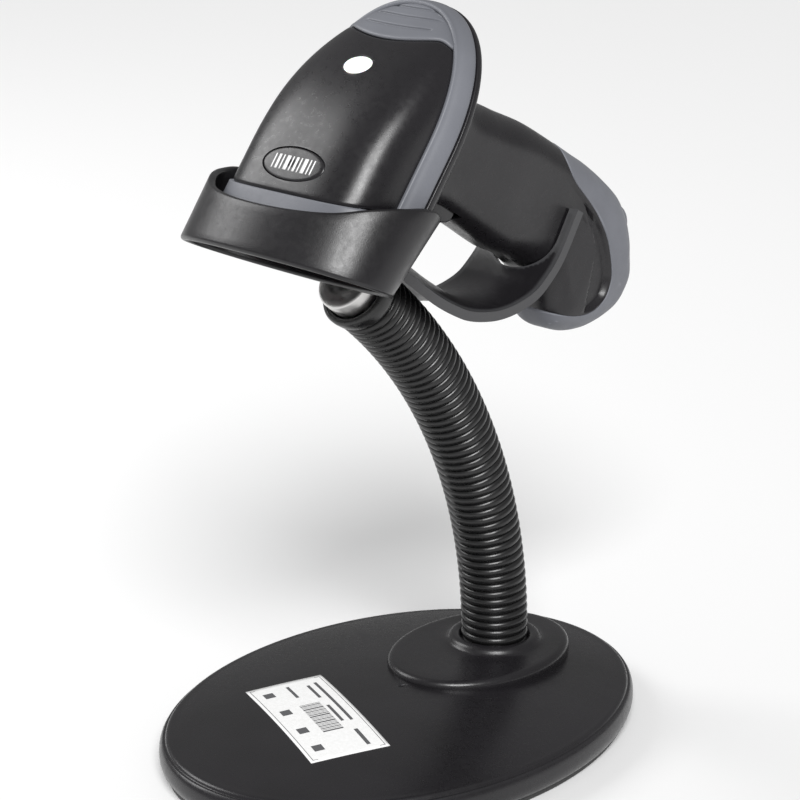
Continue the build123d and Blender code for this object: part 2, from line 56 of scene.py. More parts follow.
TILT = math.atan2(LIFT_AXIS[2], LIFT_AXIS[1])

# Sizes in millimetres. The scanner and its cradle are shaped in the scanner's own frame:
# nose towards -Y, top of the head towards +Z, handle towards -Z. tip() carries them to the row frame.
HEAD_HALF_WIDTH = 29.4
HEAD_BACK_Y = 106.0
HEAD_BACK_LENGTH = 43.8
PLAN_POWER = 2.2
BUMPER_INSET = 3.2
CROWN_SEAM_Z = 154.5
CROWN_HEIGHT = 18.9
CROWN_FRONT_Y = 93.7
CROWN_RUN = 61.7
CROWN_POWER = 3.54
CAP_PROUD = 0.35
WALL = 2.0
BELLY_TOP_Z = 151.5
NOSE_CENTRE_Z = 158.1
NOSE_START_Y = 75.6
BADGE_Y = 88.4
STATUS_Y = 121.3

RING_WALL = 2.1
NECK_END_Y = 71.8
SCOOP_HALF_WIDTH = 15.0
SCOOP_THICKNESS = 2.8
FORK_HALF_GAP = 11.9
FORK_ROUND_Y = 118.2

BEND_RADIUS = 150.0
NECK_START_Z = 18.0
NECK_RADIUS = 10.0
COIL_PITCH = 2.65
COIL_DEPTH = 1.15

BASE_CENTRE_Y = -40.6
BASE_HALF_LENGTH = 79.0
BASE_RATIO = 117.0 / 158.0


# ---- small helpers ----------------------------------------------------------------
def tip(points):
    """Points of the scanner's own frame, in mm, as row frame points in metres."""
    p = np.asarray(points, float)
    c, s = math.cos(TILT), math.sin(TILT)
    return np.stack([p[..., 0], p[..., 1] * c - p[..., 2] * s, p[..., 1] * s + p[..., 2] * c], -1) * MM


def points_at(x, y, z):
    """Points from their coordinates, each a list or one number."""
    return np.stack(np.broadcast_arrays(x, y, z), -1)


def power(value, exponent):
    """A signed power, which turns circles into squarer or rounder ovals."""
    return np.sign(value) * np.abs(value) ** exponent


def smooth_step(value):
    t = np.clip(value, 0, 1)
    return t * t * (3 - 2 * t)


def flowing(xs, ys, at):
    """A smooth curve through a few stations, without overshoot."""
    xs, ys, at = np.asarray(xs, float), np.asarray(ys, float), np.asarray(at, float)
    step = np.diff(xs)
    slope = np.diff(ys) / step
    tangent = np.zeros(len(xs))
    tangent[0], tangent[-1] = slope[0], slope[-1]
    for i in range(1, len(xs) - 1):
        if slope[i - 1] * slope[i] > 0:
            tangent[i] = 2 * slope[i - 1] * slope[i] / (slope[i - 1] + slope[i])
    i = np.clip(np.searchsorted(xs, at) - 1, 0, len(step) - 1)
    t = np.clip((at - xs[i]) / step[i], 0, 1)
    h00, h10 = 2 * t**3 - 3 * t**2 + 1, t**3 - 2 * t**2 + t
    h01, h11 = -2 * t**3 + 3 * t**2, t**3 - t**2
    return h00 * ys[i] + h10 * step[i] * tangent[i] + h01 * ys[i + 1] + h11 * step[i] * tangent[i + 1]


def rounded(points, rounds=2):
    """A closed outline with its corners cut off again and again until they are round."""
    p = np.asarray(points, float)
    for _ in range(rounds):
        nxt = np.roll(p, -1, axis=0)
        p = np.stack([0.75 * p + 0.25 * nxt, 0.25 * p + 0.75 * nxt], 1).reshape(-1, p.shape[1])
    return p


def piece(name, points, faces, material, body, slot, *nodes):
    """A smooth mesh from points in metres, riding on a body and standing for CAD nodes."""
    mesh = bpy.data.meshes.new(name)
    mesh.from_pydata(np.asarray(points, float).tolist(), [], faces)
    shell = bmesh.new()
    shell.from_mesh(mesh)
    bmesh.ops.remove_doubles(shell, verts=shell.verts, dist=1e-7)
    bmesh.ops.dissolve_degenerate(shell, edges=shell.edges, dist=1e-7)
    bmesh.ops.recalc_face_normals(shell, faces=shell.faces)
    shell.to_mesh(mesh)
    shell.free()
    mesh.polygons.foreach_set("use_smooth", [True] * len(mesh.polygons))
    mesh.materials.append(material)
    obj = bpy.data.objects.new(name, mesh)
    bpy.context.scene.collection.objects.link(obj)
    if nodes:
        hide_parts(*nodes)
    if body:
        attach(obj, body)
    return obj


def sweep_faces(rows, columns, wrap_rows, caps=True):
    """Quads between closed loops, wrapped into a torus or closed by two end caps."""
    faces = []
    for i in range(rows if wrap_rows else rows - 1):
        a, b = i * columns, ((i + 1) % rows) * columns
        for j in range(columns):
            k = (j + 1) % columns
            faces.append((a + j, a + k, b + k, b + j))
    if not wrap_rows and caps:
        for start in (0, (rows - 1) * columns):
            for j in range(columns // 2 - 1):
                last = columns - 1 - j
                faces.append((start + j, start + j + 1, start + last - 1, start + last))
    return faces


def swept(name, loops, material, body, slot, *nodes, wrap=False):
    """A closed solid through closed loops of points. loops has the shape (rows, columns, 3)."""
    rows, columns = loops.shape[:2]
    return piece(name, loops.reshape(-1, 3), sweep_faces(rows, columns, wrap), material, body, slot, *nodes)


def skin_loops(outer, inner, turns=4):
    """Closed loops round a wall: out along its outer face, round its rim, and back inside."""
    loops = [outer]
    for face, other, near, far in ((outer, inner, -1, -2), (inner, outer, 0, 1)):
        middle = (face[:, near] + other[:, near]) / 2
        half = face[:, near] - middle
        ahead = (face[:, near] - face[:, far]) + (other[:, near] - other[:, far])
        ahead /= np.linalg.norm(ahead, axis=-1, keepdims=True)
        radius = np.linalg.norm(half, axis=-1, keepdims=True)
        turn = [math.pi * k / turns for k in range(1, turns)]
        rim = [middle + half * math.cos(a) + ahead * radius * math.sin(a) for a in turn]
        loops.append(np.stack(rim, 1))
        if face is outer:
            loops.append(inner[:, ::-1])
    return np.concatenate(loops, 1)


def modified(obj, *steps):
    """Applies modifiers, each given as (type, settings), and leaves the plain mesh."""
    for kind, settings in steps:
        modifier = obj.modifiers.new(kind.title(), kind)
        for key, value in settings.items():
            setattr(modifier, key, value)
    graph = bpy.context.evaluated_depsgraph_get()
    made = bpy.data.meshes.new_from_object(obj.evaluated_get(graph))
    obj.modifiers.clear()
    obj.data = made
    return obj


# ---- materials ----------------------------------------------------------------------
def new_material(name):
    material = bpy.data.materials.new(name)
    material.use_nodes = True
    tree = material.node_tree
    return material, tree, tree.nodes["Principled BSDF"]


def add_noise(tree, scale, detail=3.0, roughness=0.55):
    coordinates = tree.nodes.get("place") or tree.nodes.new("ShaderNodeTexCoord")
    coordinates.name = "place"
    noise = tree.nodes.new("ShaderNodeTexNoise")
    noise.inputs["Scale"].default_value = scale
    noise.inputs["Detail"].default_value = detail
    noise.inputs["Roughness"].default_value = roughness
    tree.links.new(coordinates.outputs["Object"], noise.inputs["Vector"])
    return noise.outputs["Fac"]


def add_ramp(tree, source, low, high, low_colour, high_colour):
    ramp = tree.nodes.new("ShaderNodeValToRGB")
    ramp.color_ramp.elements[0].position = low
    ramp.color_ramp.elements[1].position = high
    ramp.color_ramp.elements[0].color = (*low_colour, 1)
    ramp.color_ramp.elements[1].color = (*high_colour, 1)
    tree.links.new(source, ramp.inputs["Fac"])
    return ramp.outputs["Color"]


def add_range(tree, source, low, high, to_low, to_high):
    node = tree.nodes.new("ShaderNodeMapRange")
    for key, value in (("From Min", low), ("From Max", high), ("To Min", to_low), ("To Max", to_high)):
        node.inputs[key].default_value = value
    tree.links.new(source, node.inputs["Value"])
    return node.outputs["Result"]


def add_mix(tree, factor, first, second):
    node = tree.nodes.new("ShaderNodeMix")
    node.data_type = "RGBA"
    tree.links.new(factor, node.inputs["Factor"])
    for socket, value in ((node.inputs[6], first), (node.inputs[7], second)):
        if isinstance(value, tuple):
            socket.default_value = (*value, 1)
        else:
            tree.links.new(value, socket)
    return node.outputs[2]


def colour_from(tree, shader, source, low_colour, high_colour, low=0.3, high=0.7):
    """Lets a pattern choose the base colour between two others."""
    ramp = add_ramp(tree, source, low, high, low_colour, high_colour)
    tree.links.new(ramp, shader.inputs["Base Color"])


def add_bump(tree, heights, strength, distance):
    """Bump from one or more heights, each (output, share), chained one on the other."""
    normal = None
    for output, share in heights:
        node = tree.nodes.new("ShaderNodeBump")
        node.inputs["Strength"].default_value = strength * share
        node.inputs["Distance"].default_value = distance
        tree.links.new(output, node.inputs["Height"])
        if normal:
            tree.links.new(normal, node.inputs["Normal"])
        normal = node.outputs["Normal"]
    return normal


def edge_wear(tree, low, high):
    """Where the surface is sharply convex, as handled edges are."""
    geometry = tree.nodes.new("ShaderNodeNewGeometry")
    return add_range(tree, geometry.outputs["Pointiness"], low, high, 0.0, 1.0)


def moulded(name, dark, light, rough, grain, grain_strength, wear=(0.1, 0.1, 0.105)):
    """Moulded plastic: a fine eroded grain, a broad uneven sheen, faint scuffs and paler edges."""
    material, tree, shader = new_material(name)
    broad = add_noise(tree, 28.0, 2.0)
    fine = add_noise(tree, grain, 2.0, 0.6)
    scuff = add_noise(tree, 520.0, 4.0, 0.7)
    colour = add_ramp(tree, broad, 0.35, 0.68, dark, light)
    worn = edge_wear(tree, 0.53, 0.62)
    tree.links.new(add_mix(tree, worn, colour, wear), shader.inputs["Base Color"])
    gloss = add_range(tree, scuff, 0.35, 0.75, rough - 0.05, rough + 0.07)
    tree.links.new(gloss, shader.inputs["Roughness"])
    normal = add_bump(tree, [(fine, 1.0), (scuff, 0.25)], grain_strength, 0.00012)
    tree.links.new(normal, shader.inputs["Normal"])
    return material


def metal(name, colour, rough, grain):
    """Satin metal with a turned or brushed grain and slight stains."""
    material, tree, shader = new_material(name)
    shader.inputs["Metallic"].default_value = 1.0
    stain = add_noise(tree, 90.0, 3.0)
    brush = add_noise(tree, grain, 5.0, 0.7)
    deep = tuple(c * 0.8 for c in colour)
    colour_from(tree, shader, stain, deep, colour)
    tree.links.new(add_range(tree, brush, 0.3, 0.7, rough - 0.08, rough + 0.1), shader.inputs["Roughness"])
    tree.links.new(add_bump(tree, [(brush, 1.0)], 0.25, 0.0001), shader.inputs["Normal"])
    return material


def clear(name, colour, rough, transmission, index=1.5):
    """A see-through window or lens with a trace of dust in its gloss."""
    material, tree, shader = new_material(name)
    dust = add_noise(tree, 400.0, 4.0)
    tint = tuple(c * 0.9 for c in colour)
    colour_from(tree, shader, dust, tint, colour)
    tree.links.new(add_range(tree, dust, 0.4, 0.7, rough, rough + 0.06), shader.inputs["Roughness"])
    shader.inputs["Transmission Weight"].default_value = transmission
    shader.inputs["IOR"].default_value = index
    return material


def milky_glowing(name):
    """The status lens: a white plastic that lets light soak in, with a faint painted glow from emission."""
    material, tree, shader = new_material(name)
    haze = add_noise(tree, 300.0, 3.0)
    colour_from(tree, shader, haze, (0.86, 0.87, 0.88), (0.97, 0.97, 0.97))
    tree.links.new(add_range(tree, haze, 0.3, 0.7, 0.22, 0.34), shader.inputs["Roughness"])
    shader.inputs["Subsurface Weight"].default_value = 0.4
    shader.inputs["Subsurface Scale"].default_value = 0.002
    # Painted glow: a faint white emission makes the unlit lens shine of its own.
    shader.inputs["Emission Color"].default_value = (1, 1, 1, 1)
    shader.inputs["Emission Strength"].default_value = 0.35
    return material


def paper(name):
    """Coated sticker stock with faint fibres."""
    material, tree, shader = new_material(name)
    fibre = add_noise(tree, 900.0, 6.0, 0.7)
    colour_from(tree, shader, fibre, (0.83, 0.83, 0.82), (0.93, 0.93, 0.93))
    tree.links.new(add_range(tree, fibre, 0.3, 0.7, 0.38, 0.5), shader.inputs["Roughness"])
    tree.links.new(add_bump(tree, [(fibre, 1.0)], 0.15, 0.0001), shader.inputs["Normal"])
    return material


def rubber(name, dark, light, rough):
    """Soft grip rubber: matt, finely stippled, with lighter dust in its grain."""
    material, tree, shader = new_material(name)
    stipple = tree.nodes.new("ShaderNodeTexVoronoi")
    coordinates = tree.nodes.new("ShaderNodeTexCoord")
    coordinates.name = "place"
    stipple.inputs["Scale"].default_value = 2600.0
    tree.links.new(coordinates.outputs["Object"], stipple.inputs["Vector"])
    broad = add_noise(tree, 45.0, 3.0)
    scuff = add_noise(tree, 600.0, 4.0, 0.7)
    colour = add_ramp(tree, broad, 0.32, 0.7, dark, light)
    worn = edge_wear(tree, 0.54, 0.66)
    pale = tuple(min(1.0, c * 1.35) for c in light)
    tree.links.new(add_mix(tree, worn, colour, pale), shader.inputs["Base Color"])
    tree.links.new(add_range(tree, scuff, 0.3, 0.7, rough - 0.05, rough + 0.06), shader.inputs["Roughness"])
    normal = add_bump(tree, [(stipple.outputs["Distance"], 1.0), (scuff, 0.3)], 0.12, 0.00012)
    tree.links.new(normal, shader.inputs["Normal"])
    shader.inputs["Sheen Weight"].default_value = 0.08
    shader.inputs["Sheen Roughness"].default_value = 0.5
    return material


def board(name):
    """Solder mask with copper tracks faintly under it."""
    material, tree, shader = new_material(name)
    track = add_noise(tree, 700.0, 1.0)
    colour_from(tree, shader, track, (0.01, 0.09, 0.035), (0.02, 0.19, 0.07), 0.48, 0.52)
    tree.links.new(add_range(tree, track, 0.4, 0.6, 0.3, 0.42), shader.inputs["Roughness"])
    return material


BLACK_WEAR = (0.05, 0.05, 0.053)
SHELL_BLACK = moulded("shell_black", (0.0085, 0.0078, 0.0092), (0.0125, 0.0115, 0.0135), 0.31, 3800.0, 0.1,
                      BLACK_WEAR)
STAND_BLACK = moulded("stand_black", (0.0085, 0.008, 0.009), (0.013, 0.012, 0.014), 0.34, 2600.0, 0.18,
                      BLACK_WEAR)
BASE_BLACK = moulded("base_black", (0.0085, 0.0078, 0.009), (0.013, 0.012, 0.014), 0.3, 2600.0, 0.08,
                     BLACK_WEAR)
TRIM_GREY = moulded("trim_grey", (0.135, 0.14, 0.158), (0.17, 0.176, 0.198), 0.46, 3200.0, 0.14,
                    (0.26, 0.265, 0.285))
COIL_BLACK = moulded("coil_black", (0.008, 0.008, 0.0083), (0.012, 0.0118, 0.0122), 0.3, 1900.0, 0.16,
                     (0.05, 0.05, 0.05))
GRIP_GREY = rubber("grip_grey", (0.128, 0.133, 0.152), (0.165, 0.171, 0.193), 0.56)
PAD_RUBBER = rubber("pad_rubber", (0.018, 0.018, 0.018), (0.03, 0.03, 0.03), 0.7)
STEEL = metal("satin_steel", (0.72, 0.71, 0.7), 0.34, 420.0)
IRON = metal("cast_iron", (0.2, 0.2, 0.2), 0.6, 900.0)
BRASS = metal("contact_gold", (0.83, 0.62, 0.27), 0.25, 900.0)
WINDOW_TINT = clear("window_tint", (0.22, 0.03, 0.035), 0.06, 0.75)
CLEAR_GLASS = clear("clear_glass", (0.95, 0.97, 1.0), 0.04, 0.95)
LENS_WHITE_GLOWING = milky_glowing("lens_white")
LABEL_WHITE = paper("label_white")
INK = moulded("printed_ink", (0.012, 0.012, 0.012), (0.02, 0.02, 0.02), 0.5, 2500.0, 0.05)
MARK_WHITE = moulded("printed_white", (0.78, 0.78, 0.78), (0.86, 0.86, 0.86), 0.45, 2500.0, 0.05,
                     (0.9, 0.9, 0.9))
BOARD_GREEN = board("board_green")
DARK_PARTS = moulded("dark_parts", (0.03, 0.03, 0.03), (0.045, 0.045, 0.045), 0.45, 2500.0, 0.15)
LAMP_RED = clear("lamp_red", (0.75, 0.06, 0.05), 0.15, 0.3)
RIBBON = moulded("ribbon_white", (0.7, 0.7, 0.68), (0.8, 0.8, 0.78), 0.45, 1500.0, 0.1, (0.85, 0.85, 0.85))

SLOT_MATERIALS = {
    "stand_black": STAND_BLACK, "coil_black": COIL_BLACK, "zinc_steel": STEEL, "ballast_iron": IRON,
    "pad_rubber": PAD_RUBBER, "label_white": LABEL_WHITE, "housing_black": SHELL_BLACK,
    "trim_grey": TRIM_GREY, "grip_grey": GRIP_GREY, "window_tint": WINDOW_TINT, "clear_glass": CLEAR_GLASS,
    "lens_white": LENS_WHITE_GLOWING, "board_green": BOARD_GREEN, "dark_parts": DARK_PARTS, "lamp_red": LAMP_RED,
    "contact_gold": BRASS, "ribbon_white": RIBBON,
}


def dress_cad_nodes():
    """Every CAD node gets its slot's procedural material."""
    for subpart in frame["record"]["subparts"]:
        node = NODES[subpart["node"]]
        material = SLOT_MATERIALS[subpart["material_slot"]]
        node.data.materials.clear()
        node.data.materials.append(material)
        node.data.polygons.foreach_set("material_index", [0] * len(node.data.polygons))


# ---- base ---------------------------------------------------------------------------
def dome_height(x, y):
    """Height of the base's dome above a point of its plan."""
    radius = np.hypot(x / BASE_RATIO, y - BASE_CENTRE_Y)
    return 10.1 + 4.4 * (1 - (radius / 77.3) ** 2) ** 0.9


def oval_loops(profile, ratio, centre_y, columns=160):
    """A turned profile of (radius, height) narrowed to an oval, as loops for a sweep."""
    turn = np.linspace(0, 2 * math.pi, columns, endpoint=False)[:, None]
    radius, height = np.asarray(profile, float).T
    return points_at(radius * ratio * np.cos(turn), centre_y + radius * np.sin(turn), height) * MM


def make_base():
    rim = BASE_HALF_LENGTH
    outer = [(rim - 2.0, 1.75), (rim - 1.3, 2.2), (rim - 0.6, 3.2), (rim - 0.1, 4.6), (rim, 5.8)]
    outer += [(rim - 0.15, 7.2), (rim - 0.5, 8.3), (rim - 1.1, 9.15), (rim - 1.5, 9.35), (rim - 1.75, 9.3)]
    outer += [(rim - 1.95, 9.35), (rim - 2.1, 9.75), (rim - 2.5, 10.2), (rim - 3.2, 10.45)]
    inner_radius = np.linspace(rim - 4.2, 0.4, 46)
    dome = [(r, float(dome_height(0, BASE_CENTRE_Y + r))) for r in inner_radius]
    under = [(0.4, 12.0), (30.0, 11.4), (60.0, 9.0), (rim - 4.2, 7.2), (rim - 4.2, 1.75)]
    swept("base_cover", oval_loops(outer + dome + under, BASE_RATIO, BASE_CENTRE_Y), BASE_BLACK,
          "stand", "stand_black", "base_shell", wrap=True)
    make_neck_disc()
    make_sticker()


def make_neck_disc():
    """The raised oval disc and the collar that the neck comes out of."""
    half_length, half_width, top, centre_y = 31.1, 23.5, 16.7, -7.0
    rounding, foot_radius = 2.0, 16.0
    turn = np.linspace(0, 2 * math.pi, 144, endpoint=False)
    edge = [(0.0, 9.6), (0.0, 14.2)]
    for a in np.linspace(0, math.pi / 2, 7):
        edge.append((rounding * math.cos(a) - rounding, 14.9 + 1.8 * math.sin(a)))
    rows = [(half_width + inset, half_length + inset, centre_y, height) for inset, height in edge]
    flat_width, flat_length = half_width - rounding, half_length - rounding
    for share in (0.2, 0.45, 0.7, 0.88):
        half_x = flat_width + (foot_radius - flat_width) * share
        half_y = flat_length + (foot_radius - flat_length) * share
        rows.append((half_x, half_y, centre_y * (1 - share), top))
    collar = [(15.2, 16.75), (14.5, 16.95), (14.05, 17.4), (13.7, 17.9), (13.3, 18.4), (12.6, 18.8)]
    collar += [(11.6, 18.9), (10.8, 18.7), (10.35, 18.1), (10.3, 15.2), (10.3, 9.6)]
    rows += [(r, r, 0.0, z) for r, z in collar]
    loops = [points_at(half_x * np.cos(turn), centre + half_y * np.sin(turn), height)
             for half_x, half_y, centre, height in rows]
    swept("neck_disc", np.stack(loops, 1) * MM, BASE_BLACK, "stand", "stand_black", wrap=True)


def sticker_frame():
    """Place, half size and turn of the sticker."""
    return np.array([-4.5, -71.4]), np.array([25.5, 11.8]), math.radians(-23.0)


def on_sticker(u, v, lift):
    """Points of the sticker from its own coordinates, -1 to 1, following the dome."""
    centre, half, turn = sticker_frame()
    a, b = np.asarray(u, float) * half[0], np.asarray(v, float) * half[1]
    x = centre[0] + a * math.cos(turn) - b * math.sin(turn)
    y = centre[1] + a * math.sin(turn) + b * math.cos(turn)
    return np.stack([x, y, dome_height(x, y) + lift], -1) * MM


def make_sticker():
    steps = np.linspace(-1, 1, 33)
    top = on_sticker(*np.meshgrid(steps, steps, indexing="ij"), 0.13)
    low = on_sticker(*np.meshgrid(steps, steps, indexing="ij"), 0.01)
    loops = np.concatenate([top, low[:, ::-1]], 1)
    swept("base_sticker", loops, LABEL_WHITE, "stand", "label_white", "base_label")
    marks = []

    def stripe(u0, u1, v0, v1):
        marks.append((u0, u1, v0, v1))

    for side in (-1, 1):
        stripe(-0.96, 0.96, side * 0.915 - 0.008, side * 0.915 + 0.008)
        stripe(side * 0.955 - 0.005, side * 0.955 + 0.005, -0.915, 0.915)
    bars = (1, 2, 1, 1, 3, 1, 2, 1, 1, 2, 3, 1, 1, 2, 1, 3, 1, 1, 2, 1, 2, 1, 3)
    at = -0.3
    for width in bars:
        stripe(at, at + width * 0.0095, -0.18, 0.34)
        at += width * 0.0095 + 0.017
    words = ((-0.82, 0.28, 0.68), (-0.78, -0.4, 0.46), (-0.18, 0.26, 0.46), (-0.86, -0.52, -0.02))
    for start, end, level in words:
        stripe(start, end, level - 0.04, level + 0.04)
    for start in (-0.8, -0.28, 0.22, 0.66):
        stripe(start, start + 0.13, -0.72, -0.46)
    stripe(0.5, 0.88, 0.52, 0.62)
    points, faces = [], []
    for u0, u1, v0, v1 in marks:
        us = np.linspace(u0, u1, max(2, int((u1 - u0) / 0.06) + 2))
        first = len(points)
        for u in us:
            for v, lift in ((v0, 0.11), (v1, 0.11), (v1, 0.155), (v0, 0.155)):
                points.append(on_sticker(u, v, lift))
        for i in range(len(us) - 1):
            for j in range(4):
                a, b = first + i * 4 + j, first + i * 4 + (j + 1) % 4
                faces.append((a, b, b + 4, a + 4))
        end = first + (len(us) - 1) * 4
        faces.append((first, first + 1, first + 2, first + 3))
        faces.append((end, end + 1, end + 2, end + 3))
    print_piece = piece("sticker_print", points, faces, INK, "stand", "label_white")
    print_piece.data.polygons.foreach_set("use_smooth", [False] * len(print_piece.data.polygons))


# ---- gooseneck ------------------------------------------------------------------------
def neck_point(along):
    """A point of the neck's centre line and its direction, by the length from the bend's start."""
    turn = max(along, 0.0) / BEND_RADIUS
    straight = min(along, 0.0)
    y = BEND_RADIUS * (math.cos(turn) - 1)
    z = NECK_START_Z + BEND_RADIUS * math.sin(turn) + straight
    ahead = np.array([0, -math.sin(turn), math.cos(turn)])
    out = np.array([0, math.cos(turn), math.sin(turn)])
    return np.array([0, y, z]), ahead, out


def coil_radius(along):
    """The ribbed outside of the coil."""
    share = (along / COIL_PITCH) % 1.0
    return NECK_RADIUS - COIL_DEPTH * (1 - math.sqrt(max(0.0, 1 - (2 * share - 1) ** 2)))


def neck_loops(stations, columns=72):
    """Loops of a neck stretch from (length along, radius) stations."""
    turn = np.linspace(0, 2 * math.pi, columns, endpoint=False)
    across, outward = np.cos(turn)[:, None] * np.array([1, 0, 0]), np.sin(turn)[:, None]
    loops = []
    for along, radius in stations:
        place, _, out = neck_point(along)
        loops.append(place + radius * (across + outward * out))
    return np.stack(loops, 1) * MM


def rib_stations(start, end):
    """Stations along the ribs, closer together in the grooves."""
    first, last = round(start / COIL_PITCH), round(end / COIL_PITCH)
    shares = 0.5 - 0.5 * np.cos(np.linspace(0, math.pi, 11))[:-1]
    lengths = [(rib + share) * COIL_PITCH for rib in range(first, last) for share in shares]
    return [(a, coil_radius(a)) for a in lengths] + [(last * COIL_PITCH, coil_radius(last * COIL_PITCH))]


def make_neck():
    names = ["neck_pitch_1", "neck_sway_1", "neck_pitch_2", "neck_sway_2", "neck_pitch_3", "neck_sway_3"]
    bends = []
    for name in names:
        _, y, z = JOINTS[name]["pos_m"]
        bends.append(BEND_RADIUS * math.atan2(z / MM - NECK_START_Z, y / MM + BEND_RADIUS))
    mouth = BEND_RADIUS * TILT
    limits = [-2.8] + [(a + b) / 2 for a, b in zip(bends, bends[1:])] + [mouth - 2.6]
    stood_for = [["neck_foot"]] + [[f"neck_link_{i}"] for i in range(1, 6)]
    stood_for[-1].append("neck_top")
    for index, name in enumerate(names):
        start, end = limits[index], limits[index + 1]
        outer = rib_stations(start, end)
        bore = [(outer[-1][0], 7.6), (outer[0][0], 7.6)]
        if index == 5:
            lip = [(0.2, 9.2), (0.9, 9.9), (2.0, 10.3), (4.2, 10.6), (5.6, 10.6)]
            lip += [(6.3, 10.2), (6.5, 9.5), (6.3, 8.8), (5.4, 8.4)]
            outer += [(outer[-1][0] + step, radius) for step, radius in lip]
            bore = [(outer[-1][0] - 12.0, 8.4), (outer[-1][0] - 12.4, 6.0), (outer[0][0], 6.0)]
        coil = swept(f"gooseneck_coil_{index + 1}", neck_loops(outer + bore), COIL_BLACK, None, "coil_black",
                     *stood_for[index], wrap=True)
        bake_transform(coil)


# ---- cradle -----------------------------------------------------------------------------
def ring_section(y):
    """The hoop's half width, half height and middle height: it opens out a little towards the head."""
    return 35.4 + 0.026 * (y - 75.0), 20.9 + 0.143 * (y - 75.0), 159.1 - 0.075 * (y - 75.0)


def ring_front(z):
    return 64.6 - (z - 159.0) * 0.223


def ring_back(z):
    heights = (137.0, 149.0, 153.0, 158.0, 163.3, 167.7, 171.0, 175.5, 179.9)
    places = (93.0, 91.8, 91.2, 89.7, 86.8, 84.1, 81.6, 77.2, 73.8)
    return flowing(heights, places, z)


def ring_reach(angle, edge):
    """Where the hoop's line at an angle meets one of its two edges."""
    y = np.full_like(angle, 78.0)
    for _ in range(30):
        _, half_height, middle = ring_section(y)
        y = 0.6 * y + 0.4 * edge(middle + half_height * np.sin(angle))
    return y


def make_ring():
    turn = np.linspace(0, 2 * math.pi, 200, endpoint=False)
    front, back = ring_reach(turn, ring_front), ring_reach(turn, ring_back)
    span = back - front
    nose = [(1.1 - 1.1 * math.sin(a), 1.05 - 1.05 * math.cos(a)) for a in np.linspace(0, math.pi, 9)]
    tail = [(0.9 * math.sin(a), 1.05 + 1.05 * math.cos(a)) for a in np.linspace(0, math.pi, 9)]
    rows = [(front + along, depth) for along, depth in nose]
    rows += [(front + 1.1 + (span - 2.0) * share, RING_WALL) for share in (0.2, 0.5, 0.8)]
    rows += [(back - 0.9 + along, depth) for along, depth in tail]
    rows += [(front + 1.1 + (span - 2.0) * share, 0.0) for share in (0.85, 0.6, 0.35, 0.12)]
    loops = []
    for y, depth in rows:
        half_width, half_height, middle = ring_section(y)
        z = middle + (half_height - depth) * np.sin(turn)
        loops.append(points_at((half_width - depth) * np.cos(turn), y, z))
    swept("cradle_hoop", tip(np.stack(loops, 1)), STAND_BLACK, "cradle", "stand_black", "cradle_ring",
          wrap=True)
    make_ledge()
    make_boss()


def make_ledge():
    """The inner lip at the bottom of the hoop that the nose rests on."""
    turn = np.radians(np.linspace(226, 314, 49))
    profile = rounded([(1.6, 71.4), (5.4, 71.4), (5.4, 74.0), (1.6, 74.0)], 2)
    half_width, half_height, middle = ring_section(72.7)
    loops = [[((half_width - d) * math.cos(a), y, middle + (half_height - d) * math.sin(a))
              for d, y in profile] for a in turn]
    swept("cradle_ledge", tip(np.array(loops)), STAND_BLACK, "cradle", "stand_black")


def make_boss():
    """The small block under the hoop that the stud is screwed into."""
    turn = np.linspace(0, 2 * math.pi, 48, endpoint=False)
    loops = []
    for z, shrink in ((139.4, 0.0), (137.6, 0.0), (137.3, 0.3), (137.2, 1.5)):
        x = (6.5 - shrink) * power(np.cos(turn), 0.55)
        y = 74.7 + (4.3 - shrink) * power(np.sin(turn), 0.55)
        loops.append(points_at(x, y, z))
    swept("cradle_boss", tip(np.array(loops)), STAND_BLACK, "cradle", "stand_black")


# Height, place along, lean of the band in degrees and bow, at stations down the scoop.
SCOOP_STATIONS = (
    (142.0, 77.8, 0, 5.2), (130.0, 77.6, 0, 5.4), (118.0, 77.8, 2, 5.3), (104.0, 79.6, 13, 4.4),
    (91.5, 84.8, 33, 2.0), (82.0, 92.6, 53, 0.5), (76.0, 102.0, 74, 0.0),
    (74.0, 113.0, 90, 0.0), (75.2, 128.0, 98, 0.0),
)


def scoop_line(count):
    """Stations down the scoop: place along and up, direction across the band, bow."""
    z, y, lean, bow = np.array(SCOOP_STATIONS, float).T
    run = np.concatenate([[0], np.cumsum(np.hypot(np.diff(y), np.diff(z)))])
    at = np.linspace(0, run[-1], count)
    return [flowing(run, values, at) for values in (y, z, np.radians(lean), bow)]


def make_scoop():
    y, z, lean, bow = scoop_line(120)
    across_y, across_z = np.cos(lean), np.sin(lean)
    shares = np.linspace(-1, 1, 25)
    faces_of_band = []
    for thickness in (0.0, SCOOP_THICKNESS):
        lift = bow[:, None] * (1 - shares**2) + thickness
        x = np.broadcast_to(SCOOP_HALF_WIDTH * shares, lift.shape)
        side = [x, y[:, None] + lift * across_y[:, None], z[:, None] + lift * across_z[:, None]]
        faces_of_band.append(np.stack(side, -1))
    loops = np.concatenate([faces_of_band[0], faces_of_band[1][:, ::-1]], 1)
    scoop = swept("cradle_fork", tip(loops), STAND_BLACK, "cradle", "stand_black", "cradle_scoop")
    turn = np.linspace(math.pi, 2 * math.pi, 33)
    notch = [(FORK_HALF_GAP * math.cos(a), FORK_ROUND_Y + FORK_HALF_GAP * math.sin(a)) for a in turn]
    notch += [(FORK_HALF_GAP, 140.0), (-FORK_HALF_GAP, 140.0)]
    cut(scoop, np.array([[(a, b, height) for a, b in notch] for height in (60.0, 98.0)]))
    bevel = {"width": 0.0007, "segments": 3, "limit_method": "ANGLE", "angle_limit": math.radians(40)}
    modified(scoop, ("BEVEL", bevel))


